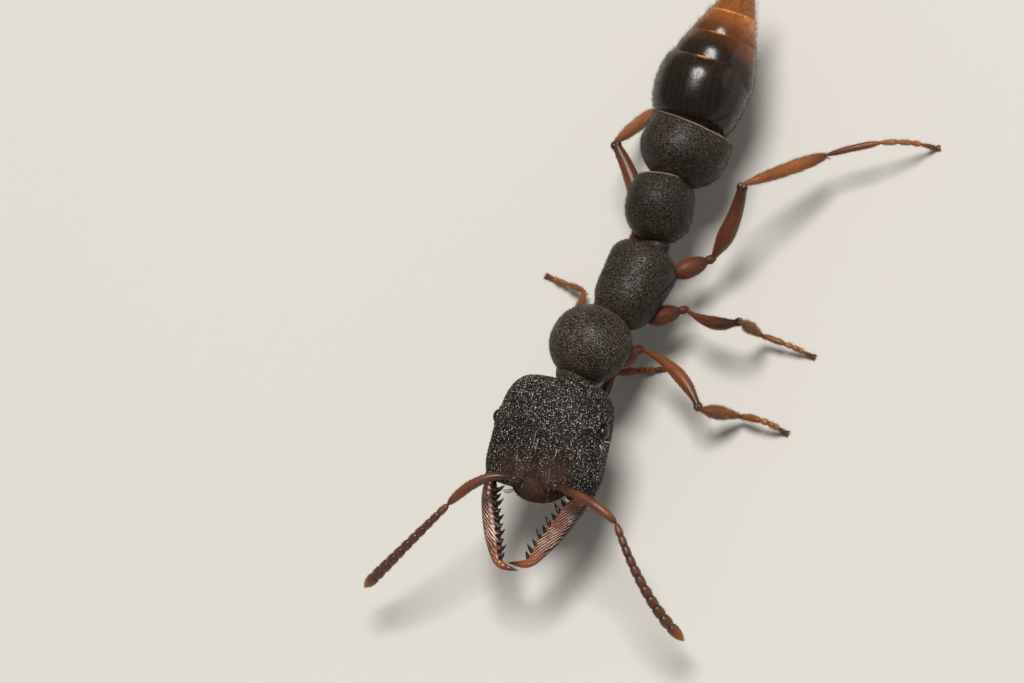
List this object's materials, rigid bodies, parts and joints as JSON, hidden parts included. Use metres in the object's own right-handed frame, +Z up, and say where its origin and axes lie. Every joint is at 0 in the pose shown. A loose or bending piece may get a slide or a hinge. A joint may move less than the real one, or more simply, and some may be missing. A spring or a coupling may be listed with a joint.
{
  "type": "ant",
  "caption": "Long-bodied dark ant with a boxy head, long toothed jaws, beaded bent feelers and slender red-brown legs, standing with its jaws crossed at the tips.",
  "frame": {"origin": "middle of the base of the bounding box, on the floor that the feet stand on", "axes": "+Z up, the ant faces -Y, its left side is towards +X, +Y runs back along the body"},
  "size_m": [0.0056, 0.0102, 0.002],
  "materials": {
    "granular_black": "near-black, densely granular and dull, with fine pale down",
    "downy_black": "matt black-brown under a short golden down",
    "gloss_black": "smooth polished black with scattered golden hairs",
    "amber_brown": "polished brown going to amber orange at the tip",
    "mandible_red": "polished red-brown with fine slanting grooves, darker teeth",
    "antenna_brown": "red-brown with a short down, orange at the tips",
    "leg_red": "translucent-looking orange-red to brown with golden hairs",
    "coxa_brown": "dark red-brown with a short down",
    "eye_black": "glossy black, finely faceted"
  },
  "bodies": {
    "root": {"pronotum": "downy_black", "neck": "coxa_brown", "hind_trunk": "downy_black", "head": "granular_black", "mandible_right": "mandible_red", "mandible_left": "mandible_red", "eye_left": "eye_black", "eye_right": "eye_black", "scape_left": "antenna_brown", "flagellum_left": "antenna_brown", "scape_right": "antenna_brown", "flagellum_right": "antenna_brown", "petiole": "downy_black", "gaster_1": "downy_black", "gaster_2": "gloss_black", "gaster_3": "gloss_black", "gaster_4": "amber_brown", "gaster_tip": "amber_brown", "leg_front_left_coxa": "coxa_brown", "leg_front_left_femur": "leg_red", "leg_front_left_tibia": "leg_red", "leg_front_left_tarsus": "leg_red", "leg_mid_left_coxa": "coxa_brown", "leg_mid_left_femur": "leg_red", "leg_mid_left_tibia": "leg_red", "leg_mid_left_tarsus": "leg_red", "leg_hind_left_coxa": "coxa_brown", "leg_hind_left_femur": "leg_red", "leg_hind_left_tibia": "leg_red", "leg_hind_left_tarsus": "leg_red", "leg_front_right_coxa": "coxa_brown", "leg_front_right_femur": "leg_red", "leg_front_right_tibia": "leg_red", "leg_front_right_tarsus": "leg_red", "leg_mid_right_coxa": "coxa_brown", "leg_mid_right_femur": "leg_red", "leg_mid_right_tibia": "leg_red", "leg_mid_right_tarsus": "leg_red", "leg_hind_right_coxa": "coxa_brown", "leg_hind_right_femur": "leg_red", "leg_hind_right_tibia": "leg_red", "leg_hind_right_tarsus": "leg_red"}
  },
  "joints": []
}
